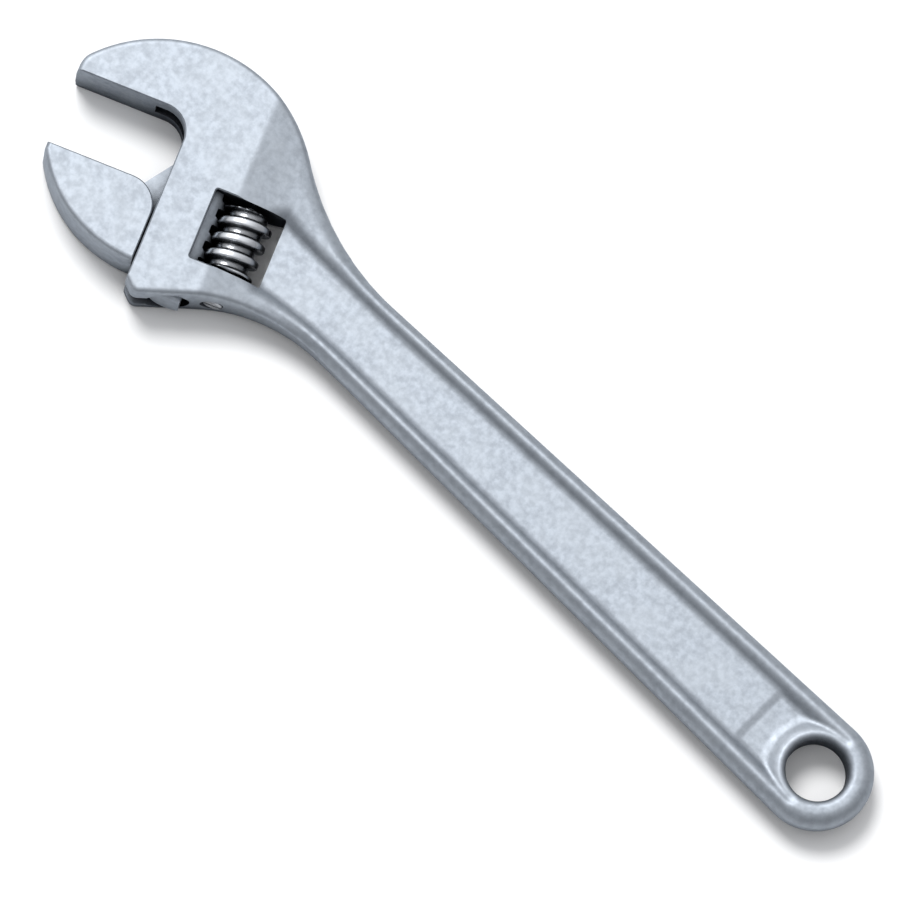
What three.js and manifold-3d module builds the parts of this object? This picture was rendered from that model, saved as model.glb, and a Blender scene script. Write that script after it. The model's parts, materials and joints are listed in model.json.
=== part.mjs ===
// Adjustable wrench, 15 inch (375 mm) class: a forged body with the fixed jaw, a movable jaw
// on a toothed shank, the worm that drives it, and the worm's pin and spring.
// Millimetres. X runs along the handle to the hanging end, Y to the fixed jaw's side, Z is up.
import * as THREE from 'three';
import { mergeVertices } from 'three/addons/utils/BufferGeometryUtils.js';
import Module from 'manifold-3d';

const wasm = await Module();
wasm.setup();

// ---- driving dimensions -------------------------------------------------------------------
// Drawing plane: the hang hole's centre is (0, 0).
const HEAD_THICKNESS = 21;
const HANDLE_THICKNESS = 13;
const HEAD_EDGE_ROUND = 2.6;
const HANDLE_EDGE_ROUND = 4.4;

const HOLE_RADIUS = 11;
const TAIL_RADIUS = 20.6;
const NECK_X = -215;
const NECK_HALF_WIDTH = 16.2;
const HEAD_CENTRE = new THREE.Vector2(-310.2, -11.9);
const HEAD_RADIUS = 54.4;
const UPPER_NECK_RADIUS = 97;
const LOWER_NECK_RADIUS = 66;

// Jaw frame: U runs from the jaw tips towards the handle, V from the movable jaw to the fixed one.
const JAW_ANGLE = THREE.MathUtils.degToRad(22.5);
const WORM_CENTRE = new THREE.Vector2(-277.5, -6);
const FIXED_FACE_V = 35.3;
const OPENING = 28.6;
const MOVABLE_FACE_V = FIXED_FACE_V - OPENING;
const THROAT_RADIUS = 10;
const GUIDE_U = -31;
const HEEL_V = -35;
const HEEL_CHAMFER = 4;
const HEEL_SLOPE = THREE.MathUtils.degToRad(20);
const FLAT_END_U = -5.5;
const SLOPE_END_U = 18;
const PAST = 90;

// Recessed panel in the handle
const PANEL_DEPTH = 2.7;
const POCKET_DEPTH = 3.6;
const PANEL_NECK_HALF_WIDTH = 8.3;
const PANEL_TAIL_HALF_WIDTH = 11.2;
const PANEL_END_X = -28.3;
const POCKET_END_RADIUS = 17.9;
const LIP_ROUND = 2.4;

// Worm, its window, pin and spring
const LEAD = 6.35;
const WORM_RADIUS = 10.2;
const WORM_ROOT_RADIUS = 7.4;
const WORM_BOTTOM_V = -13.1;
const WORM_TOP_V = 11.3;
const CREST_WIDTH = 2.5;
const ROOT_WIDTH = 1.75;
const CREST_PHASE_V = 1.2;
const WINDOW_HALF = 13.5;
const PIN_RADIUS = 2.1;
const PIN_HEAD_RADIUS = 3.8;
const PIN_HEAD_LENGTH = 3.4;
const PIN_SEAT_V = -20.6;
const PIN_TOP_V = 23;
const COUNTERBORE_RADIUS = 4.6;
const COUNTERBORE_DEPTH = 9;
const SPRING_RADIUS = 3.5;
const SPRING_WIRE_RADIUS = 0.5;
const SPRING_TURNS = 5;

// Movable jaw
const JAW_THICKNESS = 20.4;
const JAW_EDGE_ROUND = 1.8;
const JAW_TIP_U = -75.4;
const JAW_TIP_BLUNT = 3;
const JAW_BELLY_RADIUS = 50;
const JAW_HEEL_V = -22.6;
const WEB_THICKNESS = 7;
const GUSSET_START_U = -38.8;
const GUSSET_RISE = 13;
const GUSSET_RUN = 9;
const SHANK_U = -15.2;
const SHANK_RADIUS = 7.4;
const SHANK_BOTTOM_V = -29.5;
const SHANK_TOP_V = MOVABLE_FACE_V + GUSSET_RISE;
const RACK_GROOVE_DEPTH = 2.75;

const CLEARANCE = 0.3;
const RACK_BACKLASH = 0.35;

// ---- frames and solids ---------------------------------------------------------------------
const jawFrame = new THREE.Matrix4()
  .makeTranslation(WORM_CENTRE.x, WORM_CENTRE.y, 0)
  .multiply(new THREE.Matrix4().makeRotationZ(JAW_ANGLE));

function fromJaw(u, v) {
  const point = new THREE.Vector3(u, v, 0).applyMatrix4(jawFrame);
  return new THREE.Vector2(point.x, point.y);
}

function solid(geometry, ...matrices) {
  let closed = geometry.index ? geometry.clone() : geometry;
  closed.deleteAttribute('normal');
  closed.deleteAttribute('uv');
  closed = mergeVertices(closed, 1e-5);
  for (const matrix of matrices) closed.applyMatrix4(matrix);
  return new wasm.Manifold(new wasm.Mesh({
    numProp: 3,
    vertProperties: new Float32Array(closed.attributes.position.array),
    triVerts: new Uint32Array(closed.index.array),
  }));
}

function slab(shape, bottom, top, round = 0, curveSegments = 12) {
  const geometry = new THREE.ExtrudeGeometry(shape, {
    depth: top - bottom - 2 * round,
    curveSegments,
    bevelEnabled: round > 0,
    bevelThickness: round,
    bevelSize: round,
    bevelOffset: -round,
    bevelSegments: 3,
  });
  geometry.translate(0, 0, bottom + round);
  return geometry;
}

function polygon(points) {
  return new THREE.Shape(points.map(([x, y]) => new THREE.Vector2(x, y)));
}

function rectangle(left, bottom, right, top) {
  return polygon([[left, bottom], [right, bottom], [right, top], [left, top]]);
}

// A cylinder along V in the jaw frame
function rod(u, bottom, top, radius, sides = 32) {
  const geometry = new THREE.CylinderGeometry(radius, radius, top - bottom, sides);
  geometry.translate(u, (bottom + top) / 2, 0);
  return geometry;
}

function namedMesh(name, manifold, colour, roughness) {
  const { numProp, vertProperties, triVerts } = manifold.getMesh();
  const geometry = new THREE.BufferGeometry();
  geometry.setAttribute('position', new THREE.BufferAttribute(vertProperties, numProp));
  geometry.setIndex(new THREE.BufferAttribute(triVerts, 1));
  geometry.computeVertexNormals();
  const material = new THREE.MeshStandardMaterial({ color: colour, metalness: 1, roughness });
  const mesh = new THREE.Mesh(geometry, material);
  mesh.name = name;
  return mesh;
}

// ---- outline helpers -----------------------------------------------------------------------
const TAPER = Math.asin((TAIL_RADIUS - NECK_HALF_WIDTH) / -NECK_X);
const UPPER_EDGE = {
  point: new THREE.Vector2(-TAIL_RADIUS * Math.sin(TAPER), TAIL_RADIUS * Math.cos(TAPER)),
  direction: new THREE.Vector2(-Math.cos(TAPER), -Math.sin(TAPER)),
};
const LOWER_EDGE = {
  point: new THREE.Vector2(-TAIL_RADIUS * Math.sin(TAPER), -TAIL_RADIUS * Math.cos(TAPER)),
  direction: new THREE.Vector2(Math.cos(TAPER), -Math.sin(TAPER)),
};
const HEEL_EDGE = {
  point: fromJaw(GUIDE_U, HEEL_V),
  direction: new THREE.Vector2(Math.cos(JAW_ANGLE + HEEL_SLOPE), Math.sin(JAW_ANGLE + HEEL_SLOPE)),
};

function rightOf(direction) {
  return new THREE.Vector2(direction.y, -direction.x);
}

function shifted(line, distance) {
  return line.point.clone().addScaledVector(rightOf(line.direction), distance);
}

// Centre of an arc that touches a line on its right side and a circle from outside
function centreBesideCircle(line, circleCentre, circleRadius, radius) {
  const start = shifted(line, radius).sub(circleCentre);
  const along = start.dot(line.direction);
  const reach = circleRadius + radius;
  const travel = -along - Math.sqrt(along * along - start.lengthSq() + reach * reach);
  return start.addScaledVector(line.direction, travel).add(circleCentre);
}

// Centre of an arc that touches two lines on their right sides
function centreBesideLines(first, second, radius) {
  const start = shifted(first, radius);
  const across = shifted(second, radius).sub(start);
  const travel = across.cross(second.direction) / first.direction.cross(second.direction);
  return start.addScaledVector(first.direction, travel);
}

function angleFrom(centre, point) {
  return Math.atan2(point.y - centre.y, point.x - centre.x);
}

// ---- body: handle, head and fixed jaw --------------------------------------------------------
function forgingOutline() {
  const upperNeck = centreBesideCircle(UPPER_EDGE, HEAD_CENTRE, HEAD_RADIUS, UPPER_NECK_RADIUS);
  const lowerNeck = centreBesideLines(HEEL_EDGE, LOWER_EDGE, LOWER_NECK_RADIUS);
  const heelStart = HEEL_EDGE.point.clone().addScaledVector(HEEL_EDGE.direction, -20);
  const outline = new THREE.Shape();
  outline.absarc(0, 0, TAIL_RADIUS, -Math.PI / 2 - TAPER, Math.PI / 2 + TAPER, false);
  outline.absarc(upperNeck.x, upperNeck.y, UPPER_NECK_RADIUS,
    TAPER - Math.PI / 2, angleFrom(upperNeck, HEAD_CENTRE), true);
  outline.absarc(HEAD_CENTRE.x, HEAD_CENTRE.y, HEAD_RADIUS,
    angleFrom(HEAD_CENTRE, upperNeck), Math.PI * 1.1, false);
  outline.lineTo(heelStart.x, heelStart.y);
  outline.absarc(lowerNeck.x, lowerNeck.y, LOWER_NECK_RADIUS,
    Math.PI / 2 + JAW_ANGLE + HEEL_SLOPE, Math.PI / 2 - TAPER, true);
  return outline;
}

// The head's faces are flat up to FLAT_END_U, slope down to the handle's thickness at SLOPE_END_U,
// and run out inside the handle.
function headThickness() {
  const high = HEAD_THICKNESS / 2;
  const level = HANDLE_THICKNESS / 2;
  const endU = SLOPE_END_U + 8;
  const end = level - HANDLE_EDGE_ROUND;
  const profile = polygon([[-PAST, -high], [FLAT_END_U, -high], [SLOPE_END_U, -level], [endU, -end],
    [endU, end], [SLOPE_END_U, level], [FLAT_END_U, high], [-PAST, high]]);
  const upright = new THREE.Matrix4().makeRotationX(Math.PI / 2);
  return solid(slab(profile, -PAST, PAST), upright, jawFrame);
}

function mouth() {
  const shape = new THREE.Shape();
  shape.moveTo(JAW_TIP_U, PAST);
  shape.lineTo(-PAST, PAST);
  shape.lineTo(-PAST, -PAST);
  shape.lineTo(GUIDE_U + HEEL_CHAMFER, -PAST);
  shape.lineTo(GUIDE_U + HEEL_CHAMFER, HEEL_V);
  shape.lineTo(GUIDE_U, HEEL_V + HEEL_CHAMFER);
  shape.absarc(GUIDE_U - THROAT_RADIUS, FIXED_FACE_V - THROAT_RADIUS, THROAT_RADIUS,
    0, Math.PI / 2, false);
  shape.lineTo(JAW_TIP_U, FIXED_FACE_V);
  return solid(slab(shape, -PAST, PAST), jawFrame);
}

function slideChannel() {
  const top = SHANK_TOP_V + OPENING + 2 * CLEARANCE;
  const half = WEB_THICKNESS / 2 + CLEARANCE;
  const cutterRadius = 14;
  const slot = solid(slab(rectangle(GUIDE_U - 1, -PAST, SHANK_U, top), -half, half), jawFrame);
  const cutterEnd = new THREE.Shape();
  cutterEnd.absarc(GUIDE_U, top - cutterRadius, cutterRadius, 0, 2 * Math.PI, false);
  return slot
    .add(solid(slab(cutterEnd, -half, half), jawFrame))
    .add(solid(rod(SHANK_U, -PAST, top, SHANK_RADIUS + CLEARANCE, 40), jawFrame));
}

function wormWindow() {
  const opening = rectangle(-WINDOW_HALF, -WINDOW_HALF, WINDOW_HALF, WINDOW_HALF);
  return solid(slab(opening, -PAST, PAST), jawFrame);
}

function pinHole() {
  return solid(rod(0, -PAST, PIN_TOP_V + CLEARANCE, PIN_RADIUS + CLEARANCE, 20), jawFrame)
    .add(solid(rod(0, -PAST, PIN_SEAT_V, PIN_HEAD_RADIUS + CLEARANCE, 24), jawFrame));
}

// Upper and lower edges of the handle's panel, from the worm window to the tail
function panelOutline(endX) {
  const top = fromJaw(WINDOW_HALF, WINDOW_HALF);
  const bottom = fromJaw(WINDOW_HALF, -WINDOW_HALF);
  const start = fromJaw(0, 0);
  const neckX = NECK_X - 6;
  const bendX = NECK_X - 30;
  const shape = new THREE.Shape();
  shape.moveTo(start.x, start.y);
  shape.lineTo(bottom.x, bottom.y);
  shape.quadraticCurveTo(bendX, -PANEL_NECK_HALF_WIDTH, neckX, -PANEL_NECK_HALF_WIDTH);
  shape.lineTo(endX, -PANEL_TAIL_HALF_WIDTH);
  shape.lineTo(endX, PANEL_TAIL_HALF_WIDTH);
  shape.lineTo(neckX, PANEL_NECK_HALF_WIDTH);
  shape.quadraticCurveTo(bendX, PANEL_NECK_HALF_WIDTH, top.x, top.y);
  return shape;
}

function pocketOutline() {
  const side = Math.asin(PANEL_TAIL_HALF_WIDTH / POCKET_END_RADIUS);
  const shape = new THREE.Shape();
  shape.absarc(0, 0, POCKET_END_RADIUS, Math.PI + side, Math.PI - side, true);
  shape.lineTo(PANEL_END_X - 0.01, PANEL_TAIL_HALF_WIDTH);
  shape.lineTo(PANEL_END_X - 0.01, -PANEL_TAIL_HALF_WIDTH);
  return shape;
}

function recesses() {
  const panelFloor = HANDLE_THICKNESS / 2 - PANEL_DEPTH;
  const pocketFloor = HANDLE_THICKNESS / 2 - POCKET_DEPTH;
  const frontPanel = solid(slab(panelOutline(PANEL_END_X), panelFloor, PAST));
  const frontPocket = solid(slab(pocketOutline(), pocketFloor, PAST));
  const front = frontPanel.add(frontPocket);
  return front.add(front.mirror([0, 0, 1]));
}

function hangHole() {
  const half = HANDLE_THICKNESS / 2;
  const mouthRadius = HOLE_RADIUS + LIP_ROUND;
  const profile = [[0, -half - 1], [mouthRadius, -half - 1], [mouthRadius, -half],
    [HOLE_RADIUS, LIP_ROUND - half], [HOLE_RADIUS, half - LIP_ROUND], [mouthRadius, half],
    [mouthRadius, half + 1], [0, half + 1]];
  const lathe = new THREE.LatheGeometry(profile.map(([x, y]) => new THREE.Vector2(x, y)), 40);
  return solid(lathe, new THREE.Matrix4().makeRotationX(Math.PI / 2));
}

function wrenchBody() {
  const outline = forgingOutline();
  const head = solid(slab(outline, -HEAD_THICKNESS / 2, HEAD_THICKNESS / 2, HEAD_EDGE_ROUND))
    .intersect(headThickness());
  const handle = solid(slab(outline, -HANDLE_THICKNESS / 2, HANDLE_THICKNESS / 2, HANDLE_EDGE_ROUND));
  const cuts = [mouth(), slideChannel(), wormWindow(), pinHole(), recesses(), hangHole()];
  return cuts.reduce((rest, cut) => rest.subtract(cut), head.add(handle));
}

// ---- movable jaw: plate, web and toothed shank -------------------------------------------------
function jawPlate() {
  const shoulder = GUIDE_U - 2 * CLEARANCE;
  const relief = THROAT_RADIUS + 1;
  const tipV = MOVABLE_FACE_V - JAW_TIP_BLUNT;
  const bellyCentre = new THREE.Vector2(GUIDE_U, JAW_HEEL_V + JAW_BELLY_RADIUS);
  const blank = new THREE.Shape();
  blank.absarc(bellyCentre.x, bellyCentre.y, JAW_BELLY_RADIUS,
    angleFrom(bellyCentre, new THREE.Vector2(JAW_TIP_U, tipV)) + 2 * Math.PI, 1.6 * Math.PI, false);
  blank.lineTo(GUIDE_U + 10, MOVABLE_FACE_V + 10);
  blank.lineTo(JAW_TIP_U, MOVABLE_FACE_V + 10);
  const machined = new THREE.Shape();
  machined.moveTo(-PAST, -PAST);
  machined.lineTo(shoulder, -PAST);
  machined.absarc(shoulder - relief, MOVABLE_FACE_V - relief, relief, 0, Math.PI / 2, false);
  machined.lineTo(-PAST, MOVABLE_FACE_V);
  return solid(slab(blank, -JAW_THICKNESS / 2, JAW_THICKNESS / 2, JAW_EDGE_ROUND), jawFrame)
    .intersect(solid(slab(machined, -PAST, PAST), jawFrame));
}

function jawWeb() {
  const foot = JAW_HEEL_V + 1;
  const web = polygon([[GUIDE_U - 9, foot + 8], [GUIDE_U, foot], [SHANK_U, foot],
    [SHANK_U, SHANK_TOP_V], [GUSSET_START_U + GUSSET_RUN, SHANK_TOP_V],
    [GUSSET_START_U, MOVABLE_FACE_V], [GUIDE_U - 9, MOVABLE_FACE_V - 1]]);
  return solid(slab(web, -WEB_THICKNESS / 2, WEB_THICKNESS / 2), jawFrame);
}

// Straight grooves, slanted by the worm's lead angle, one lead apart and in step with its thread
function rackGrooves() {
  const outerU = SHANK_U + SHANK_RADIUS;
  const innerU = outerU - RACK_GROOVE_DEPTH;
  const flank = (LEAD - ROOT_WIDTH - CREST_WIDTH) / 2 / (WORM_RADIUS - WORM_ROOT_RADIUS);
  const halfWidth = (u) => CREST_WIDTH / 2 + (WORM_RADIUS + u) * flank + RACK_BACKLASH;
  const past = outerU + 2;
  const section = polygon([[innerU, -halfWidth(innerU)], [past, -halfWidth(past)],
    [past, halfWidth(past)], [innerU, halfWidth(innerU)]]);
  const slant = LEAD / (2 * Math.PI * (WORM_RADIUS + WORM_ROOT_RADIUS) / 2);
  const slanted = new THREE.Matrix4().makeShear(0, 0, 0, 0, 0, slant);
  const grooves = [];
  const first = CREST_PHASE_V - LEAD / 4;
  const firstIndex = Math.ceil((SHANK_BOTTOM_V - LEAD / 2 - first) / LEAD);
  for (let v = first + firstIndex * LEAD; v < SHANK_TOP_V + LEAD / 2; v += LEAD) {
    const along = new THREE.Matrix4().makeTranslation(0, v, 0);
    grooves.push(solid(slab(section, -SHANK_RADIUS, SHANK_RADIUS), slanted, along, jawFrame));
  }
  return grooves;
}

function movableJaw() {
  const shank = solid(rod(SHANK_U, SHANK_BOTTOM_V, SHANK_TOP_V, SHANK_RADIUS, 40), jawFrame);
  const blank = jawPlate().add(jawWeb()).add(shank);
  return rackGrooves().reduce((rest, groove) => rest.subtract(groove), blank);
}

// ---- worm, pin and spring ------------------------------------------------------------------------
// Radius of the worm's cross-section at an angle from the middle of the thread's crest
function threadRadius(angle) {
  const along = Math.abs(Math.atan2(Math.sin(angle), Math.cos(angle))) * LEAD / (2 * Math.PI);
  const down = (along - CREST_WIDTH / 2) / ((LEAD - ROOT_WIDTH - CREST_WIDTH) / 2);
  return THREE.MathUtils.lerp(WORM_RADIUS, WORM_ROOT_RADIUS, THREE.MathUtils.clamp(down, 0, 1));
}

function adjustingWorm() {
  const sides = 30;
  const stepsPerTurn = 12;
  const length = WORM_TOP_V - WORM_BOTTOM_V;
  const phase = -Math.PI / 2 - 2 * Math.PI * (CREST_PHASE_V - WORM_BOTTOM_V) / LEAD;
  const section = new THREE.Shape();
  for (let i = 0; i < sides; i += 1) {
    const angle = 2 * Math.PI * i / sides;
    const radius = threadRadius(angle);
    section.lineTo(radius * Math.cos(angle + phase), radius * Math.sin(angle + phase));
  }
  const geometry = new THREE.ExtrudeGeometry(section, {
    depth: length, steps: Math.round(stepsPerTurn * length / LEAD), bevelEnabled: false,
  });
  const position = geometry.attributes.position;
  const corner = new THREE.Vector3();
  for (let i = 0; i < position.count; i += 1) {
    corner.fromBufferAttribute(position, i);
    corner.applyAxisAngle(new THREE.Vector3(0, 0, 1), 2 * Math.PI * corner.z / LEAD);
    position.setXYZ(i, corner.x, corner.y, corner.z);
  }
  geometry.rotateX(-Math.PI / 2);
  geometry.translate(0, WORM_BOTTOM_V, 0);
  return solid(geometry, jawFrame)
    .subtract(solid(rod(0, -PAST, PAST, PIN_RADIUS + CLEARANCE, 20), jawFrame))
    .subtract(solid(rod(0, WORM_TOP_V - COUNTERBORE_DEPTH, PAST, COUNTERBORE_RADIUS, 24), jawFrame));
}

function wormPin() {
  const headBottom = PIN_SEAT_V - CLEARANCE - PIN_HEAD_LENGTH;
  const slot = new THREE.BoxGeometry(2.4 * PIN_HEAD_RADIUS, 2.4, 1.2);
  slot.translate(0, headBottom, 0);
  return solid(rod(0, headBottom + 1, PIN_TOP_V, PIN_RADIUS, 20), jawFrame)
    .add(solid(rod(0, headBottom, headBottom + PIN_HEAD_LENGTH, PIN_HEAD_RADIUS, 24), jawFrame))
    .subtract(solid(slot, jawFrame));
}

class Helix extends THREE.Curve {
  constructor(radius, bottom, top, turns) {
    super();
    Object.assign(this, { radius, bottom, top, turns });
  }

  getPoint(t, target = new THREE.Vector3()) {
    const angle = 2 * Math.PI * this.turns * t;
    return target.set(this.radius * Math.sin(angle), THREE.MathUtils.lerp(this.bottom, this.top, t),
      this.radius * Math.cos(angle));
  }
}

function wormSpring() {
  const end = SPRING_WIRE_RADIUS + CLEARANCE;
  const seat = WORM_TOP_V - COUNTERBORE_DEPTH;
  const path = new Helix(SPRING_RADIUS, seat + end, WINDOW_HALF - end, SPRING_TURNS);
  const wire = new THREE.Shape();
  wire.absarc(0, 0, SPRING_WIRE_RADIUS, 0, 2 * Math.PI, false);
  const geometry = new THREE.ExtrudeGeometry(wire, {
    extrudePath: path, steps: 12 * SPRING_TURNS, curveSegments: 3,
  });
  return solid(geometry, jawFrame);
}

// ---- the wrench, lying on its back face with the origin under its middle ---------------------------
const wrench = new THREE.Group();
wrench.add(
  namedMesh('wrench_body', wrenchBody(), 0xcdd6e2, 0.38),
  namedMesh('movable_jaw', movableJaw(), 0xcdd6e2, 0.38),
  namedMesh('adjusting_worm', adjustingWorm(), 0xc4cad2, 0.3),
  namedMesh('worm_pin', wormPin(), 0x8f959c, 0.35),
  namedMesh('worm_spring', wormSpring(), 0x6e7379, 0.4),
);
const extent = new THREE.Box3().setFromObject(wrench, true);
const middle = extent.getCenter(new THREE.Vector3());
wrench.position.set(-middle.x, -middle.y, -extent.min.z);

const group = new THREE.Group();
group.add(wrench);

export default group;
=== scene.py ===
"""Adjustable wrench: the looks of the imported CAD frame.

Lengths are millimetres in the drawing plane (the hang hole's centre is the origin, z is measured
from the middle of the wrench's thickness) until place() turns them into metres in the frame.
The forging is a distance field, meshed with a surface net. What is machined is cut out of it.
"""

import json
import math

import bmesh
import bpy
import numpy as np
from mathutils import Matrix, Vector


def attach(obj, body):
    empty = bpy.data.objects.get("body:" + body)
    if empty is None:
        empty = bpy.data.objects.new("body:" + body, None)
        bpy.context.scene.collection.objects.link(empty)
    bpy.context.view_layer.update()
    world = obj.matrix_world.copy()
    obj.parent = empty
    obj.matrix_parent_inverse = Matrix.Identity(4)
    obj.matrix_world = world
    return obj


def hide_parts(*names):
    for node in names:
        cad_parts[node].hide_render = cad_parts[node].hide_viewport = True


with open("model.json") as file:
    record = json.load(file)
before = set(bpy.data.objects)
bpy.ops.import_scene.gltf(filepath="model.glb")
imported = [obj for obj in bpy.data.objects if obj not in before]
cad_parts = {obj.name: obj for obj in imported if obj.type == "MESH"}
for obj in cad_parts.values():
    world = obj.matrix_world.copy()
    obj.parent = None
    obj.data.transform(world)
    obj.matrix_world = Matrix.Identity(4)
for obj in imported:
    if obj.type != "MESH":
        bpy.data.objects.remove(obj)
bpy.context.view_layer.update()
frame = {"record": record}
joints = {joint["name"]: joint for joint in frame["record"]["behaviour"]["joints"]}

# ---- driving dimensions: the CAD's, with softer edges and the handle's panel in full detail ---------
HEAD_THICKNESS = 21
HANDLE_THICKNESS = 13
HEAD_EDGE_ROUND = 1.8
HANDLE_EDGE_ROUND = 5.5
HOLE_RADIUS = 11
HOLE_EDGE_ROUND = 3
TAIL_RADIUS = 20.6
NECK_X = -215
NECK_HALF_WIDTH = 16.2
HEAD_CENTRE = np.array([-310.2, -11.9])
HEAD_RADIUS = 54.4
UPPER_NECK_RADIUS = 97
LOWER_NECK_RADIUS = 66
TIP_ROUND = 2
FORGING_DRAFT = 0.03   # how far a wall leans in for each millimetre away from the middle

# Jaw frame: u runs from the jaw tips towards the handle, v from the movable jaw to the fixed one
WORM_CENTRE = np.array([-277.5, -6.0])
FIXED_FACE_V = 35.3
MOVABLE_FACE_V = 6.7
OPENING = FIXED_FACE_V - MOVABLE_FACE_V
JAW_TIP_U = -75.4
THROAT_RADIUS = 10
GUIDE_U = -31
HEEL_V = -35
HEEL_SLOPE = math.radians(20)
HEEL_BEVEL = 5.5
FLAT_END_U = -5.5
SLOPE_END_U = 18

PANEL_DEPTH = 2.7
POCKET_DEPTH = 3.2
PANEL_NECK_HALF_WIDTH = 10.6
PANEL_TAIL_HALF_WIDTH = 13.7
PANEL_WALL_RUN = 1.25
PANEL_END_X = -28.3
PANEL_STEP_RUN = 2.6
RIDGE_RADIUS = 15.5
RIDGE_WALL_RUN = 1.7

LEAD = 6.35
WORM_RADIUS = 10.2
WORM_ROOT_RADIUS = 7.4
WORM_BOTTOM_V = -13.1
WORM_TOP_V = 11.3
CREST_PHASE_V = 1.2
WINDOW_HALF = 13.5
PIN_RADIUS = 2.1
PIN_HEAD_RADIUS = 3.8
PIN_HEAD_LENGTH = 3.4
PIN_SEAT_V = -20.6
PIN_TOP_V = 23
COUNTERBORE_RADIUS = 4.6
COUNTERBORE_DEPTH = 9
SPRING_RADIUS = 3.5
SPRING_WIRE_RADIUS = 0.5
SPRING_TURNS = 5

JAW_THICKNESS = 20.4
JAW_EDGE_ROUND = 1.8
JAW_BELLY_RADIUS = 50
JAW_HEEL_V = -22.6
WEB_THICKNESS = 7
GUSSET_START_U = -38.8
GUSSET_RISE = 13
GUSSET_RUN = 9
SHANK_U = -15.2
SHANK_RADIUS = 7.4
TOOTH_DEPTH = 2.75
SHANK_BOTTOM_V = -29.5
SHANK_TOP_V = MOVABLE_FACE_V + GUSSET_RISE
CLEARANCE = 0.3
CHANNEL_TOP_V = SHANK_TOP_V + OPENING + 2 * CLEARANCE
EDGE_BREAK = 0.45
PAST = 90              # how far a cutter runs out beyond the metal
RACK_CUT_REACH = 9     # the same, for the small cutters that shape the rack
FLAT_AREA = 60         # square millimetres: any larger face lies in a flat surface

# ---- frames ----------------------------------------------------------------------------------------
WORM_AXIS = Vector(joints["worm_spin"]["axis"])
JAW_ANGLE = math.atan2(-WORM_AXIS.x, WORM_AXIS.y)
U = np.array([math.cos(JAW_ANGLE), math.sin(JAW_ANGLE)])
V = np.array([-math.sin(JAW_ANGLE), math.cos(JAW_ANGLE)])
worm_place = Vector(joints["worm_spin"]["pos_m"])
TO_FRAME = Matrix.Translation(worm_place) @ Matrix.Scale(0.001, 4)
TO_FRAME = TO_FRAME @ Matrix.Translation((-WORM_CENTRE[0], -WORM_CENTRE[1], 0))
JAW = Matrix.Translation((WORM_CENTRE[0], WORM_CENTRE[1], 0)) @ Matrix.Rotation(JAW_ANGLE, 4, "Z")


def from_jaw(u, v):
    return WORM_CENTRE + u * U + v * V


def to_jaw(x, y):
    dx, dy = x - WORM_CENTRE[0], y - WORM_CENTRE[1]
    return dx * U[0] + dy * U[1], dx * V[0] + dy * V[1]


def direction(angle):
    return np.array([math.cos(angle), math.sin(angle)])


def angle_of(vector):
    return math.atan2(vector[1], vector[0])


# ---- outlines in the drawing plane ------------------------------------------------------------------
def arc(centre, radius, start, end, step=math.radians(2.5)):
    count = max(2, math.ceil(abs(end - start) / step))
    return [np.asarray(centre) + radius * direction(a) for a in np.linspace(start, end, count + 1)]


def right_of(heading):
    return np.array([heading[1], -heading[0]])


def cross(a, b):
    return a[0] * b[1] - a[1] * b[0]


def centre_beside_circle(point, heading, radius):
    """Centre of an arc that touches a line on its right side and the head's circle from outside."""
    start = point + right_of(heading) * radius - HEAD_CENTRE
    along = start @ heading
    reach = HEAD_RADIUS + radius
    travel = -along - math.sqrt(along * along - start @ start + reach * reach)
    return start + heading * travel + HEAD_CENTRE


def centre_beside_lines(first, second, radius):
    """Centre of an arc that touches two lines, each a point and a heading, on their right sides."""
    start = first[0] + right_of(first[1]) * radius
    other = second[0] + right_of(second[1]) * radius
    return start + first[1] * cross(other - start, second[1]) / cross(first[1], second[1])


TAPER = math.asin((TAIL_RADIUS - NECK_HALF_WIDTH) / -NECK_X)


def forging_outline():
    upper = (TAIL_RADIUS * direction(math.pi / 2 + TAPER), direction(math.pi + TAPER))
    lower = (TAIL_RADIUS * direction(-math.pi / 2 - TAPER), direction(-TAPER))
    heel_angle = JAW_ANGLE + HEEL_SLOPE
    heel = (from_jaw(GUIDE_U, HEEL_V), direction(heel_angle))
    upper_neck = centre_beside_circle(*upper, UPPER_NECK_RADIUS)
    lower_neck = centre_beside_lines(heel, lower, LOWER_NECK_RADIUS)
    to_head = angle_of(HEAD_CENTRE - upper_neck) % (2 * math.pi) - 2 * math.pi
    points = arc((0, 0), TAIL_RADIUS, -math.pi / 2 - TAPER, math.pi / 2 + TAPER)
    points += arc(upper_neck, UPPER_NECK_RADIUS, TAPER - math.pi / 2, to_head)
    points += arc(HEAD_CENTRE, HEAD_RADIUS, to_head + math.pi, 1.1 * math.pi)[1:]
    points += [heel[0] - 20 * heel[1]]
    points += arc(lower_neck, LOWER_NECK_RADIUS, math.pi / 2 + heel_angle, math.pi / 2 - TAPER)
    return np.array(points)


def quadratic(start, control, end, count=14):
    times = np.linspace(0, 1, count)
    return [(1 - t) ** 2 * start + 2 * t * (1 - t) * control + t * t * end for t in times]


def panel_outline():
    """The handle's recessed panel, from inside the worm window to past the hang hole."""
    top = from_jaw(WINDOW_HALF, WINDOW_HALF)
    bottom = from_jaw(WINDOW_HALF, -WINDOW_HALF)
    neck = np.array([NECK_X - 6, PANEL_NECK_HALF_WIDTH])
    bend = np.array([NECK_X - 30, PANEL_NECK_HALF_WIDTH])
    tail = np.array([0, PANEL_TAIL_HALF_WIDTH])
    down = np.array([1, -1])
    points = [from_jaw(0, 0)]
    points += quadratic(bottom, bend * down, neck * down)
    points += [tail * down, tail]
    points += quadratic(neck, bend, top)
    return np.array(points)


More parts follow.
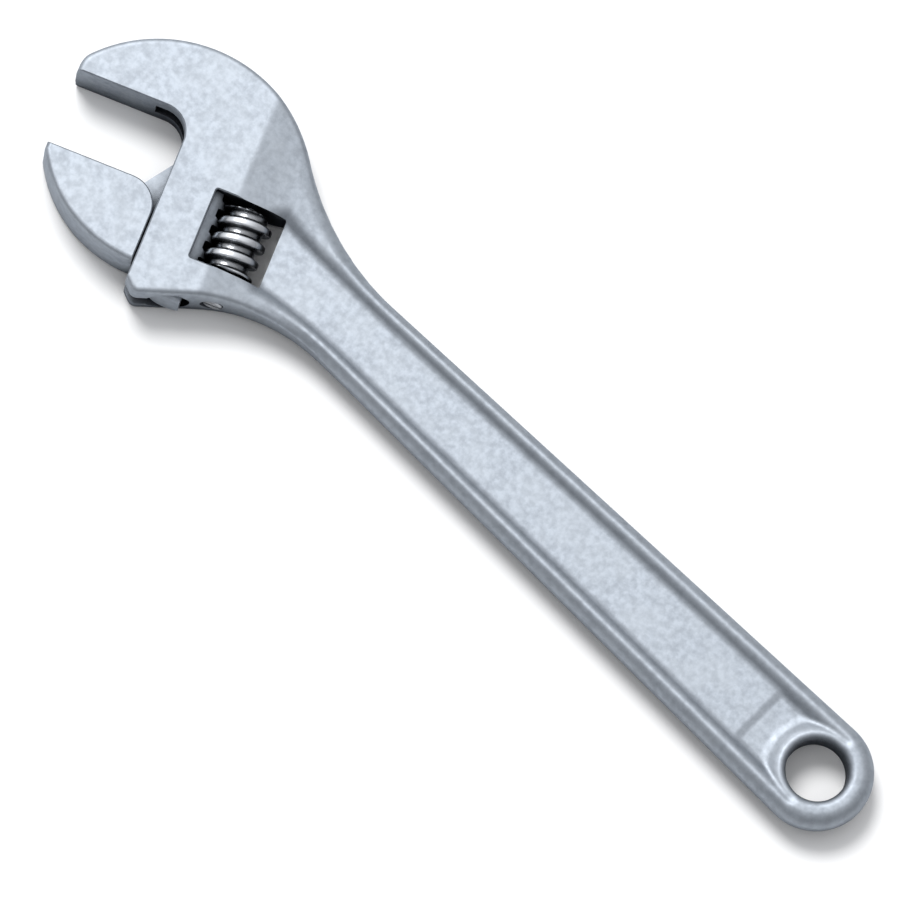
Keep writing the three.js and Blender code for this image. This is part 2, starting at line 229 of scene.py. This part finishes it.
def outline_distance(outline, x, y):
    """Signed distance to a closed outline that runs anticlockwise, negative inside."""
    nearest = np.inf
    inside = False
    for a, b in zip(outline, np.roll(outline, -1, axis=0)):
        edge = b - a
        dx, dy = x - a[0], y - a[1]
        t = np.clip((dx * edge[0] + dy * edge[1]) / (edge @ edge), 0, 1)
        nearest = np.minimum(nearest, (dx - t * edge[0]) ** 2 + (dy - t * edge[1]) ** 2)
        if a[1] != b[1]:
            crosses = (a[1] <= y) != (b[1] <= y)
            inside = inside ^ (crosses & (dx < dy * edge[0] / edge[1]))
    return np.where(inside, -1, 1) * np.sqrt(nearest)


# ---- distance fields --------------------------------------------------------------------------------
def smooth_max(a, b, reach):
    """The larger of two fields, blended where they are closer together than the reach."""
    blend = np.maximum(reach - np.abs(a - b), 0) / reach
    return np.maximum(a, b) + blend * blend * reach / 4


def smooth_min(a, b, reach):
    return -smooth_max(-a, -b, reach)


def rounded(across, up, radius):
    """Where two half spaces meet, with a true round of that radius along the edge."""
    a, b = across + radius, up + radius
    return np.minimum(np.maximum(a, b), 0) + np.hypot(np.maximum(a, 0), np.maximum(b, 0)) - radius


OUTLINE = forging_outline()
PANEL = panel_outline()


def recess(x, y, z):
    """The panel and the deeper pocket by the hang hole, with sloping walls."""
    corner_blend = 1.2
    floor_fillet = 0.9
    height = np.abs(z)
    floor = HANDLE_THICKNESS / 2 - PANEL_DEPTH
    above_middle = height - floor - PANEL_DEPTH / 2
    panel = outline_distance(PANEL, x, y) - PANEL_WALL_RUN * above_middle
    ridge = RIDGE_RADIUS - np.hypot(x, y) - RIDGE_WALL_RUN * above_middle
    wall = smooth_max(panel / math.hypot(1, PANEL_WALL_RUN), ridge / math.hypot(1, RIDGE_WALL_RUN),
                      corner_blend)
    step = (POCKET_DEPTH - PANEL_DEPTH) * np.clip((x - PANEL_END_X) / PANEL_STEP_RUN + 0.5, 0, 1)
    return rounded(wall, floor - step - height, floor_fillet)


def forging(x, y, z):
    """The forged body before it is machined."""
    facet_blend = 0.12
    neck_blend = 2.5
    panel_rim_blend = 1.4
    u, v = to_jaw(x, y)
    height = np.abs(z)
    edge = smooth_max(outline_distance(OUTLINE, x, y), JAW_TIP_U - u, TIP_ROUND)
    edge = smooth_max(edge, (GUIDE_U + HEEL_V + HEEL_BEVEL - u - v) * math.sqrt(0.5), TIP_ROUND)
    drafted = edge + FORGING_DRAFT * height
    drop = (HEAD_THICKNESS - HANDLE_THICKNESS) / 2 / (SLOPE_END_U - FLAT_END_U)
    slope = (height - HEAD_THICKNESS / 2 + drop * (u - FLAT_END_U)) / math.hypot(1, drop)
    head_top = smooth_max(height - HEAD_THICKNESS / 2, slope, facet_blend)
    head = rounded(drafted, head_top, HEAD_EDGE_ROUND)
    handle = rounded(edge, height - HANDLE_THICKNESS / 2, HANDLE_EDGE_ROUND)
    body = np.maximum(smooth_min(head, handle, neck_blend), edge)
    body = smooth_max(body, -recess(x, y, z), panel_rim_blend)
    return rounded(body, HOLE_RADIUS - np.hypot(x, y), HOLE_EDGE_ROUND)


# ---- meshing ----------------------------------------------------------------------------------------
def surface_net(field, xs, ys, zs):
    """Quads along a field's zero level, with one vertex in each grid cell that it passes through."""
    inside = field(xs[:, None, None], ys[None, :, None], zs[None, None, :]) < 0
    corners = np.zeros([n - 1 for n in inside.shape], dtype=int)
    for i, j, k in np.ndindex(2, 2, 2):
        corners += inside[i:i - 1 or None, j:j - 1 or None, k:k - 1 or None]
    corners_of_a_cell = 8
    mixed = (corners > 0) & (corners < corners_of_a_cell)
    number = np.full(corners.shape, -1)
    number[mixed] = np.arange(mixed.sum())
    cells = np.argwhere(mixed)
    middles = [(line[:-1] + line[1:]) / 2 for line in (xs, ys, zs)]
    points = np.stack([middles[i][cells[:, i]] for i in range(3)], axis=1)
    quads = []
    for axis in range(3):
        step = np.diff(inside.astype(np.int8), axis=axis)
        edges = np.argwhere(step != 0)
        loop = []
        for back in ((0, 0), (1, 0), (1, 1), (0, 1)):
            cell = edges.copy()
            cell[:, (axis + 1) % 3] -= back[0]
            cell[:, (axis + 2) % 3] -= back[1]
            loop.append(number[tuple(cell.T)])
        quad = np.stack(loop, axis=1)
        entering = step[tuple(edges.T)] > 0
        quad[entering] = quad[entering][:, ::-1]
        quads.append(quad)
    return points, np.concatenate(quads)


def settle(points, field, rounds=4):
    """Moves points onto a field's zero level."""
    nudge = 0.01
    for _ in range(rounds):
        value = field(*points.T)
        slope = np.stack([field(*(points + nudge * axis).T) - value for axis in np.eye(3)], axis=1) / nudge
        travel = np.clip(value / np.maximum((slope ** 2).sum(axis=1), 0.2), -0.5, 0.5)
        points = points - slope * travel[:, None]
    return points


def make_object(name, points, faces, place=None):
    mesh = bpy.data.meshes.new(name)
    mesh.from_pydata([tuple(p) for p in points], [], [tuple(int(i) for i in f) for f in faces])
    if place is not None:
        mesh.transform(place)
    mesh.update()
    piece = bpy.data.objects.new(name, mesh)
    bpy.context.collection.objects.link(piece)
    return piece


def loft(name, rings, place=None):
    """A closed solid through rings of equally many points, capped at both ends."""
    count = len(rings[0])
    faces = [list(range(count))[::-1]]
    for ring in range(len(rings) - 1):
        for i in range(count):
            j = (i + 1) % count
            low, high = ring * count, (ring + 1) * count
            faces.append([low + i, low + j, high + j, high + i])
    faces.append([(len(rings) - 1) * count + i for i in range(count)])
    points = [p for ring in rings for p in ring]
    return make_object(name, points, faces, place)


def prism(name, outline, levels, place=None):
    """A loft along z. outline(grow) is a list of plane points, and levels are (z, grow) pairs."""
    return loft(name, [[(p[0], p[1], z) for p in outline(grow)] for z, grow in levels], place)


def slab(name, corners, half):
    """A flat prism across the middle of the wrench's thickness, from corners in the jaw frame."""
    return prism(name, lambda grow: corners, [(-half, 0), (half, 0)], JAW)


def turned(name, profile, u=0, sides=96):
    """A solid of revolution about a line along v in the jaw frame. profile is (radius, v) pairs."""
    rings = []
    for radius, v in profile:
        angles = [2 * math.pi * i / sides for i in range(sides)]
        rings.append([(u + radius * math.sin(a), v, radius * math.cos(a)) for a in angles])
    return loft(name, rings, JAW)


def combine(piece, other, operation):
    modifier = piece.modifiers.new(operation, "BOOLEAN")
    modifier.operation = operation
    modifier.solver = "EXACT"
    modifier.object = other
    bpy.context.view_layer.update()
    result = bpy.data.meshes.new_from_object(piece.evaluated_get(bpy.context.evaluated_depsgraph_get()))
    piece.modifiers.clear()
    piece.data = result
    bpy.data.objects.remove(other)


def both_sides(side):
    """Levels from the back to the front, out of the front half's levels."""
    return [(-z, grow) for z, grow in side[::-1]] + side


def flared(half, reach):
    """Levels that cut through a slab of this half thickness and break its edges."""
    return both_sides([(half - EDGE_BREAK, 0), (half + reach, EDGE_BREAK + reach)])


# ---- the body's machined cuts -----------------------------------------------------------------------
def mouth(grow):
    """Everything between the jaws and ahead of the guide face, in the jaw frame."""
    corner = (GUIDE_U - THROAT_RADIUS, FIXED_FACE_V - THROAT_RADIUS)
    throat = arc(corner, THROAT_RADIUS + grow, 0, math.pi / 2)
    return [(-2 * PAST, -PAST), (GUIDE_U + grow, -PAST)] + throat + [(-2 * PAST, FIXED_FACE_V + grow)]


def window(grow):
    half = WINDOW_HALF + grow
    round_corner = 0.8
    inner = WINDOW_HALF - round_corner
    corners = [(inner, -inner), (inner, inner), (-inner, inner), (-inner, -inner)]
    points = []
    for turn, corner in enumerate(corners):
        start = (turn - 1) * math.pi / 2
        points += arc(corner, half - inner, start, start + math.pi / 2, math.radians(15))
    return points


def channel():
    """The web's channel, which a round cutter leaves curved where it runs out into the throat."""
    cutter_radius = 14
    end = arc((GUIDE_U, CHANNEL_TOP_V - cutter_radius), cutter_radius, math.pi / 2, math.pi)
    return [(GUIDE_U - cutter_radius, -PAST), (SHANK_U, -PAST), (SHANK_U, CHANNEL_TOP_V)] + end


def machine_body(body):
    channel_half = WEB_THICKNESS / 2 + CLEARANCE
    bore = SHANK_RADIUS + CLEARANCE
    pin_bore = PIN_RADIUS + CLEARANCE
    seat_bore = PIN_HEAD_RADIUS + CLEARANCE
    cutters = [
        prism("mouth_cut", mouth, flared(HEAD_THICKNESS / 2, 3), JAW),
        prism("window_cut", window, flared(HEAD_THICKNESS / 2, 3), JAW),
        slab("channel_cut", channel(), channel_half),
        turned("bore_cut", [(bore, -PAST), (bore, CHANNEL_TOP_V)], SHANK_U),
        turned("pin_cut", [(seat_bore, -PAST), (seat_bore, PIN_SEAT_V), (pin_bore, PIN_SEAT_V),
                           (pin_bore, PIN_TOP_V + CLEARANCE)]),
    ]
    for cutter in cutters:
        combine(body, cutter, "DIFFERENCE")


def wrench_body():
    """The forging, meshed more finely at the head and the hang hole than along the handle."""
    xs = np.concatenate([np.arange(-375, -222, 0.75), np.arange(-222, -46, 2.4), np.arange(-46, 23, 0.6)])
    ys = np.arange(-58, 46, 0.5)
    zs = np.arange(-11.6, 11.8, 0.6)
    points, quads = surface_net(forging, xs, ys, zs)
    body = make_object("forged_body", settle(points, forging), quads)
    machine_body(body)
    return body


# ---- movable jaw ------------------------------------------------------------------------------------
def jaw_blank(inset):
    """The movable jaw's plate as forged, from the tip round the belly to behind the guide face."""
    centre = np.array([GUIDE_U, JAW_HEEL_V + JAW_BELLY_RADIUS])
    stock = 12
    tip_v = MOVABLE_FACE_V - 3
    start = angle_of(np.array([JAW_TIP_U, tip_v]) - centre) % (2 * math.pi)
    belly = arc(centre, JAW_BELLY_RADIUS - inset, start, 1.6 * math.pi)
    return belly + [(GUIDE_U + stock, MOVABLE_FACE_V + stock), (JAW_TIP_U + inset, MOVABLE_FACE_V + stock)]


def machined_jaw(inset):
    """The jaw face, the relieved inner corner and the shoulder that faces the guide."""
    shoulder = GUIDE_U - 2 * CLEARANCE
    relief = THROAT_RADIUS + 1
    corner = arc((shoulder - relief, MOVABLE_FACE_V - relief), relief - inset, 0, math.pi / 2)
    return [(-2 * PAST, -PAST), (shoulder - inset, -PAST)] + corner + [(-2 * PAST, MOVABLE_FACE_V - inset)]


def jaw_plate():
    half = JAW_THICKNESS / 2
    quarter = np.linspace(0, math.pi / 2, 7)
    side = [(half - JAW_EDGE_ROUND * (1 - math.sin(a)), JAW_EDGE_ROUND * (1 - math.cos(a)))
            for a in quarter]
    plate = prism("jaw_plate", jaw_blank, both_sides(side), JAW)
    combine(plate, prism("machined", machined_jaw, flared(half, 1), JAW), "INTERSECT")
    return plate


def jaw_web():
    """The flat web that joins the plate to the shank, with the gusset that shows in the throat."""
    foot = JAW_HEEL_V + 1
    in_plate = GUIDE_U - 9
    outline = [(in_plate, foot + 8), (GUIDE_U, foot), (SHANK_U, foot), (SHANK_U, SHANK_TOP_V),
               (GUSSET_START_U + GUSSET_RUN, SHANK_TOP_V), (GUSSET_START_U, MOVABLE_FACE_V),
               (in_plate, MOVABLE_FACE_V - 3)]
    return slab("jaw_web", outline, WEB_THICKNESS / 2)


def rack_groove(v):
    """One straight tooth space, slanted by the worm's lead angle."""
    slant = LEAD / (2 * math.pi * (WORM_RADIUS + WORM_ROOT_RADIUS) / 2)
    outer = SHANK_U + SHANK_RADIUS
    floor = outer - TOOTH_DEPTH
    half_widths = [(floor, 1.35), (floor + 0.55, 1.75), (outer + 2, 3.1)]
    section = [(u, -half) for u, half in half_widths] + [(u, half) for u, half in half_widths[::-1]]
    ends = (-RACK_CUT_REACH, RACK_CUT_REACH)
    rings = [[(u, v + dv + slant * z, z) for u, dv in section] for z in ends]
    return loft("rack_groove", rings, JAW)


def end_relief(last_groove_v):
    """Takes off the rack's last, thin tooth."""
    foot = SHANK_U + SHANK_RADIUS - TOOTH_DEPTH
    far = foot + RACK_CUT_REACH
    below = SHANK_BOTTOM_V - 1
    corners = [(foot, below), (far, below), (far, last_groove_v), (foot, last_groove_v)]
    return slab("end_relief", corners, RACK_CUT_REACH)


def movable_jaw():
    jaw = jaw_plate()
    combine(jaw, jaw_web(), "UNION")
    bevel = 0.9
    end_radius = SHANK_RADIUS - bevel
    profile = [(end_radius, SHANK_BOTTOM_V), (SHANK_RADIUS, SHANK_BOTTOM_V + bevel),
               (SHANK_RADIUS, SHANK_TOP_V - bevel), (end_radius, SHANK_TOP_V)]
    shank = turned("shank", profile, SHANK_U)
    first = CREST_PHASE_V - LEAD / 4
    low = math.ceil((SHANK_BOTTOM_V - LEAD / 2 - first) / LEAD)
    high = math.floor((SHANK_TOP_V + LEAD / 2 - first) / LEAD)
    for index in range(low, high + 1):
        combine(shank, rack_groove(first + index * LEAD), "DIFFERENCE")
    combine(shank, end_relief(first + (low + 1) * LEAD), "DIFFERENCE")
    combine(jaw, shank, "UNION")
    jaw.name = "forged_jaw"
    return jaw


# ---- worm, pin and spring ---------------------------------------------------------------------------
def thread_radius(angle, v):
    """The worm's radius: a rounded crest and root, bevelled at both ends."""
    steepness = 2.2
    crest_share = 0.15
    bevel_length = 1
    bevel_depth = 1.5
    wave = math.cos(2 * math.pi * (v - CREST_PHASE_V) / LEAD + math.pi / 2 - angle)
    level = 0.5 + 0.5 * math.tanh(steepness * wave + crest_share) / math.tanh(steepness + crest_share)
    end = min(v - WORM_BOTTOM_V, WORM_TOP_V - v)
    radius = WORM_ROOT_RADIUS + (WORM_RADIUS - WORM_ROOT_RADIUS) * min(max(level, 0), 1)
    return min(radius, WORM_RADIUS - bevel_depth * (1 - end / bevel_length))


def adjusting_worm():
    """One closed grid: up the thread, over the top and down the counterbore and the pin's bore."""
    sides = 96
    steps = 128
    lip = 0.4
    angles = [2 * math.pi * i / sides for i in range(sides)]
    bore = PIN_RADIUS + CLEARANCE
    floor = WORM_TOP_V - COUNTERBORE_DEPTH

    def ring(radius_at, v):
        return [(radius_at(a) * math.sin(a), v, radius_at(a) * math.cos(a)) for a in angles]

    rings = [ring(lambda a: bore, floor), ring(lambda a: bore, WORM_BOTTOM_V)]
    for v in np.linspace(WORM_BOTTOM_V, WORM_TOP_V, steps):
        rings.append(ring(lambda a: thread_radius(a, v), v))
    rings.append(ring(lambda a: COUNTERBORE_RADIUS + lip, WORM_TOP_V))
    rings.append(ring(lambda a: COUNTERBORE_RADIUS, WORM_TOP_V - lip))
    rings.append(ring(lambda a: COUNTERBORE_RADIUS, floor))
    count = len(rings)
    points = [p for r in rings for p in r]
    faces = []
    for row in range(count):
        low, high = row * sides, (row + 1) % count * sides
        for i in range(sides):
            j = (i + 1) % sides
            faces.append([low + i, low + j, high + j, high + i])
    return make_object("threaded_worm", points, faces, JAW)


def worm_pin():
    bottom = PIN_SEAT_V - CLEARANCE - PIN_HEAD_LENGTH
    seat = PIN_SEAT_V - CLEARANCE
    profile = [(PIN_HEAD_RADIUS - 0.6, bottom), (PIN_HEAD_RADIUS, bottom + 0.6),
               (PIN_HEAD_RADIUS, seat - 0.2), (PIN_HEAD_RADIUS - 0.2, seat), (PIN_RADIUS, seat),
               (PIN_RADIUS, PIN_TOP_V - 0.5), (PIN_RADIUS - 0.5, PIN_TOP_V)]
    pin = turned("slotted_pin", profile, sides=64)
    half_width = 0.55
    slot_bottom = bottom + 1.3
    corners = [(-5, bottom - 1), (5, bottom - 1), (5, slot_bottom), (-5, slot_bottom)]
    combine(pin, slab("slot_cut", corners, half_width), "DIFFERENCE")
    return pin


def worm_spring():
    """A compression spring whose end coils are closed."""
    low = WORM_TOP_V - COUNTERBORE_DEPTH + SPRING_WIRE_RADIUS + CLEARANCE
    high = WINDOW_HALF - SPRING_WIRE_RADIUS - CLEARANCE
    closed = 2.1 * SPRING_WIRE_RADIUS
    along = [0, 1, SPRING_TURNS - 1, SPRING_TURNS]
    heights = [low, low + closed, high - closed, high]
    rings = []
    for turn in np.linspace(0, SPRING_TURNS, 40 * SPRING_TURNS + 1):
        angle = 2 * math.pi * turn
        centre = np.array([SPRING_RADIUS * math.sin(angle), np.interp(turn, along, heights),
                           SPRING_RADIUS * math.cos(angle)])
        outward = np.array([math.sin(angle), 0, math.cos(angle)])
        up = np.array([0, 1, 0])
        rings.append([centre + SPRING_WIRE_RADIUS * (math.cos(a) * outward + math.sin(a) * up)
                      for a in np.linspace(0, 2 * math.pi, 13)[:-1]])
    return loft("wire_spring", rings, JAW)


# ---- materials --------------------------------------------------------------------------------------
EDGE_TINT = (0.55, 0.57, 0.6, 1)   # keeps metal seen at a shallow angle from turning white


class Nodes:
    """A short way to write a material's node tree."""

    def __init__(self, name):
        self.material = bpy.data.materials.new(name)
        self.material.use_nodes = True
        self.tree = self.material.node_tree
        self.shader = self.tree.nodes["Principled BSDF"]
        self.place = self.add("ShaderNodeTexCoord").outputs["Object"]

    def feed(self, socket, value):
        """Links another node's output to a socket, or sets the socket to a plain value."""
        if isinstance(value, bpy.types.NodeSocket):
            self.tree.links.new(value, socket)
        else:
            socket.default_value = value

    def add(self, kind, inputs=None, **settings):
        node = self.tree.nodes.new(kind)
        for key, value in settings.items():
            setattr(node, key, value)
        for name, value in (inputs or {}).items():
            self.feed(node.inputs[name], value)
        return node

    def noise(self, size_mm, detail=3, roughness=0.55):
        inputs = {"Vector": self.place, "Scale": 1000 / size_mm, "Detail": detail, "Roughness": roughness}
        return self.add("ShaderNodeTexNoise", inputs).outputs["Fac"]

    def ramp(self, value, low, high, to_low=0.0, to_high=1.0):
        inputs = {"Value": value, "From Min": low, "From Max": high, "To Min": to_low, "To Max": to_high}
        return self.add("ShaderNodeMapRange", inputs).outputs["Result"]

    def openness(self, distance_mm):
        """1 in the open and falling to 0 in crevices; the materials darken their colour with it to paint
        shade there.
        """
        normal = self.add("ShaderNodeNewGeometry").outputs["Normal"]
        inputs = {"Distance": distance_mm / 1000, "Normal": normal}
        return self.add("ShaderNodeAmbientOcclusion", inputs, samples=8).outputs["AO"]

    def mix(self, factor, first, second):
        factor_socket, first_colour, second_colour, colour_out = 0, 6, 7, 2
        node = self.add("ShaderNodeMix", data_type="RGBA")
        self.feed(node.inputs[factor_socket], factor)
        self.feed(node.inputs[first_colour], first)
        self.feed(node.inputs[second_colour], second)
        return node.outputs[colour_out]

    def bump(self, height, distance_mm, normal=None):
        inputs = {"Height": height, "Distance": distance_mm / 1000, "Strength": 1.0}
        if normal is not None:
            inputs["Normal"] = normal
        return self.add("ShaderNodeBump", inputs).outputs["Normal"]

    def connect(self, **sockets):
        for name, value in sockets.items():
            self.feed(self.shader.inputs[name.replace("_", " ")], value)


def satin_chrome(name, painted_shade_low, painted_shade_high):
    """Chrome plate over a blasted forging: cloudy patches, mottles, a fine grain, and painted shade in
    crevices and on walls.
    """
    nodes = Nodes(name)
    clouds = nodes.noise(14, detail=3)
    mottle = nodes.noise(2.8, detail=3, roughness=0.6)
    grain = nodes.noise(0.5, detail=2)
    colour = nodes.mix(nodes.ramp(mottle, 0.36, 0.64), (0.295, 0.322, 0.358, 1), (0.362, 0.396, 0.44, 1))
    colour = nodes.mix(nodes.ramp(clouds, 0.4, 0.6, 0.0, 0.35), colour, (0.375, 0.405, 0.44, 1))
    # Painted shade: the colour falls to near black where the metal is hemmed in, in crevices, recesses and
    # along walls.
    painted_shade = nodes.ramp(nodes.openness(25), painted_shade_low, painted_shade_high)
    colour = nodes.mix(painted_shade, (0.02, 0.023, 0.028, 1), colour)
    roughness = nodes.ramp(mottle, 0.3, 0.7, 0.59, 0.55)
    normal = nodes.bump(mottle, 0.05)
    normal = nodes.bump(grain, 0.01, normal=normal)
    nodes.connect(Base_Color=colour, Metallic=1.0, Roughness=roughness, Normal=normal)
    nodes.connect(Specular_Tint=EDGE_TINT)
    return nodes.material


def polished_thread(name):
    """Turned and plated steel that use has polished, with painted shade darkening the roots between the
    threads.
    """
    nodes = Nodes(name)
    smears = nodes.noise(4, detail=4)
    grain = nodes.noise(0.4, detail=2)
    colour = nodes.mix(nodes.ramp(smears, 0.35, 0.7), (0.62, 0.64, 0.67, 1), (0.74, 0.76, 0.79, 1))
    # Painted shade: the thread roots are darkened to near black.
    painted_shade = nodes.ramp(nodes.openness(5), 0.56, 0.88)
    colour = nodes.mix(painted_shade, (0.04, 0.042, 0.045, 1), colour)
    roughness = nodes.ramp(smears, 0.3, 0.7, 0.24, 0.34)
    normal = nodes.bump(grain, 0.003)
    nodes.connect(Base_Color=colour, Metallic=1.0, Roughness=roughness, Normal=normal)
    nodes.connect(Specular_Tint=EDGE_TINT)
    return nodes.material


def bare_steel(name, colour):
    """Plain steel with darker stains."""
    nodes = Nodes(name)
    stain = nodes.noise(2, detail=4)
    dark = tuple(0.6 * c for c in colour[:3]) + (1,)
    tone = nodes.mix(nodes.ramp(stain, 0.4, 0.7), dark, colour)
    roughness = nodes.ramp(stain, 0.3, 0.7, 0.28, 0.45)
    normal = nodes.bump(stain, 0.01)
    nodes.connect(Base_Color=tone, Metallic=1.0, Roughness=roughness, Normal=normal)
    return nodes.material


# ---- putting the pieces on the frame ----------------------------------------------------------------
def place(piece, body, node, slot_name, material, sharp_degrees=32):
    """Turns a piece made in millimetres into one of the frame's, riding on its body."""
    weld_distance = 1e-7
    flat_area = FLAT_AREA * 1e-6
    mesh = piece.data
    mesh.transform(TO_FRAME)
    cleaner = bmesh.new()
    cleaner.from_mesh(mesh)
    bmesh.ops.remove_doubles(cleaner, verts=cleaner.verts, dist=weld_distance)
    bmesh.ops.recalc_face_normals(cleaner, faces=cleaner.faces)
    cleaner.to_mesh(mesh)
    cleaner.free()
    mesh.set_sharp_from_angle(angle=math.radians(sharp_degrees))
    for polygon in mesh.polygons:
        polygon.use_smooth = polygon.area < flat_area
    mesh.materials.clear()
    mesh.materials.append(material)
    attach(piece, body)
    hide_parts(node)


# Both chrome materials paint shade into crevices; the two numbers set where that painted shade starts and
# stops.
body_chrome = satin_chrome("satin_chrome", 0.38, 0.9)
place(wrench_body(), "frame", "wrench_body", "satin_chrome", body_chrome)
# The jaw's copy paints lighter shade, so the gusset in the throat stays bright.
jaw_chrome = satin_chrome("satin_chrome_jaw", 0.2, 0.6)
place(movable_jaw(), "jaw", "movable_jaw", "satin_chrome_jaw", jaw_chrome)
place(adjusting_worm(), "worm", "adjusting_worm", "worm_chrome", polished_thread("worm_chrome"), 50)
pin_steel = bare_steel("pin_steel", (0.5, 0.52, 0.55, 1))
place(worm_pin(), "frame", "worm_pin", "pin_steel", pin_steel)
spring_steel = bare_steel("spring_steel", (0.36, 0.38, 0.4, 1))
place(worm_spring(), "worm", "worm_spring", "spring_steel", spring_steel, 60)


# ---- floor, light and camera ------------------------------------------------------------------------
def pale_floor():
    side = 4.0
    corners = [(-side, -side, 0), (side, -side, 0), (side, side, 0), (-side, side, 0)]
    floor = make_object("floor", corners, [(0, 1, 2, 3)])
    nodes = Nodes("pale_floor")
    nodes.connect(Base_Color=(0.9, 0.9, 0.9, 1), Roughness=0.9)
    floor.data.materials.append(nodes.material)


VIEW_TILT = math.radians(15)
VIEW_SIDE = math.radians(-64)
HANDLE_IN_VIEW = math.radians(44.4)
VIEW_WIDTH = 0.3157    # metres seen across the picture at the wrench
HOLE_RIGHT = 0.1282    # metres from the picture's middle to the hang hole
HOLE_DOWN = 0.1133
LENS = 400             # long enough for the nearly flat perspective
BRIGHT_SIDE = Vector((-0.35, 0.3, 0.89)).normalized()
ROOM_SHADE = (0.36, 0.367, 0.38, 1)
ROOM_LIGHT = (1.02, 1.03, 1.05, 1)


def view_axes():
    """Right, up and back of the photograph's view: the handle runs down to the right at 44.4 degrees."""
    back = Vector((math.sin(VIEW_TILT) * math.cos(VIEW_SIDE), math.sin(VIEW_TILT) * math.sin(VIEW_SIDE),
                   math.cos(VIEW_TILT)))
    turn = Vector((0, 0, 1)).rotation_difference(back)
    right = turn @ Vector((math.cos(HANDLE_IN_VIEW), math.sin(HANDLE_IN_VIEW), 0))
    return right, back.cross(right), back


def add_camera():
    right, up, back = view_axes()
    hole = TO_FRAME @ Vector((0, 0, 0))
    target = hole - HOLE_RIGHT * right + HOLE_DOWN * up
    data = bpy.data.cameras.new("camera")
    data.lens = LENS
    data.sensor_width = 36
    distance = VIEW_WIDTH * data.lens / data.sensor_width
    camera = bpy.data.objects.new("camera", data)
    axes = Matrix((right, up, back)).transposed().to_4x4()
    camera.matrix_world = Matrix.Translation(target + back * distance) @ axes
    bpy.context.collection.objects.link(camera)
    bpy.context.scene.camera = camera


def area_light(name, place_at, size, watts):
    """A round lamp that faces the frame's origin."""
    data = bpy.data.lights.new(name, "AREA")
    data.shape = "DISK"
    data.size = size
    data.energy = watts
    light = bpy.data.objects.new(name, data)
    light.location = place_at
    light.rotation_mode = "QUATERNION"
    light.rotation_quaternion = (-place_at).to_track_quat("-Z", "Y")
    bpy.context.collection.objects.link(light)


def add_studio():
    """A room that is bright overhead on the jaws' side, and one soft lamp beyond the jaws."""
    right, up, back = view_axes()
    area_light("key", 6.5 * back + 6.2 * up - 1.2 * right, size=3.8, watts=620)
    world = bpy.data.worlds.new("studio")
    bpy.context.scene.world = world
    world.use_nodes = True
    tree = world.node_tree
    heading = tree.nodes.new("ShaderNodeTexCoord")
    towards = tree.nodes.new("ShaderNodeVectorMath")
    towards.operation = "DOT_PRODUCT"
    towards.inputs[1].default_value = BRIGHT_SIDE
    ramp = tree.nodes.new("ShaderNodeValToRGB")
    tree.links.new(heading.outputs["Generated"], towards.inputs[0])
    tree.links.new(towards.outputs["Value"], ramp.inputs[0])
    ramp.color_ramp.interpolation = "EASE"
    for element, position, colour in zip(ramp.color_ramp.elements, (0.2, 0.95), (ROOM_SHADE, ROOM_LIGHT)):
        element.position = position
        element.color = colour
    tree.links.new(ramp.outputs[0], tree.nodes["Background"].inputs["Color"])
    bpy.context.scene.view_settings.view_transform = "Standard"


pale_floor()
add_camera()
add_studio()
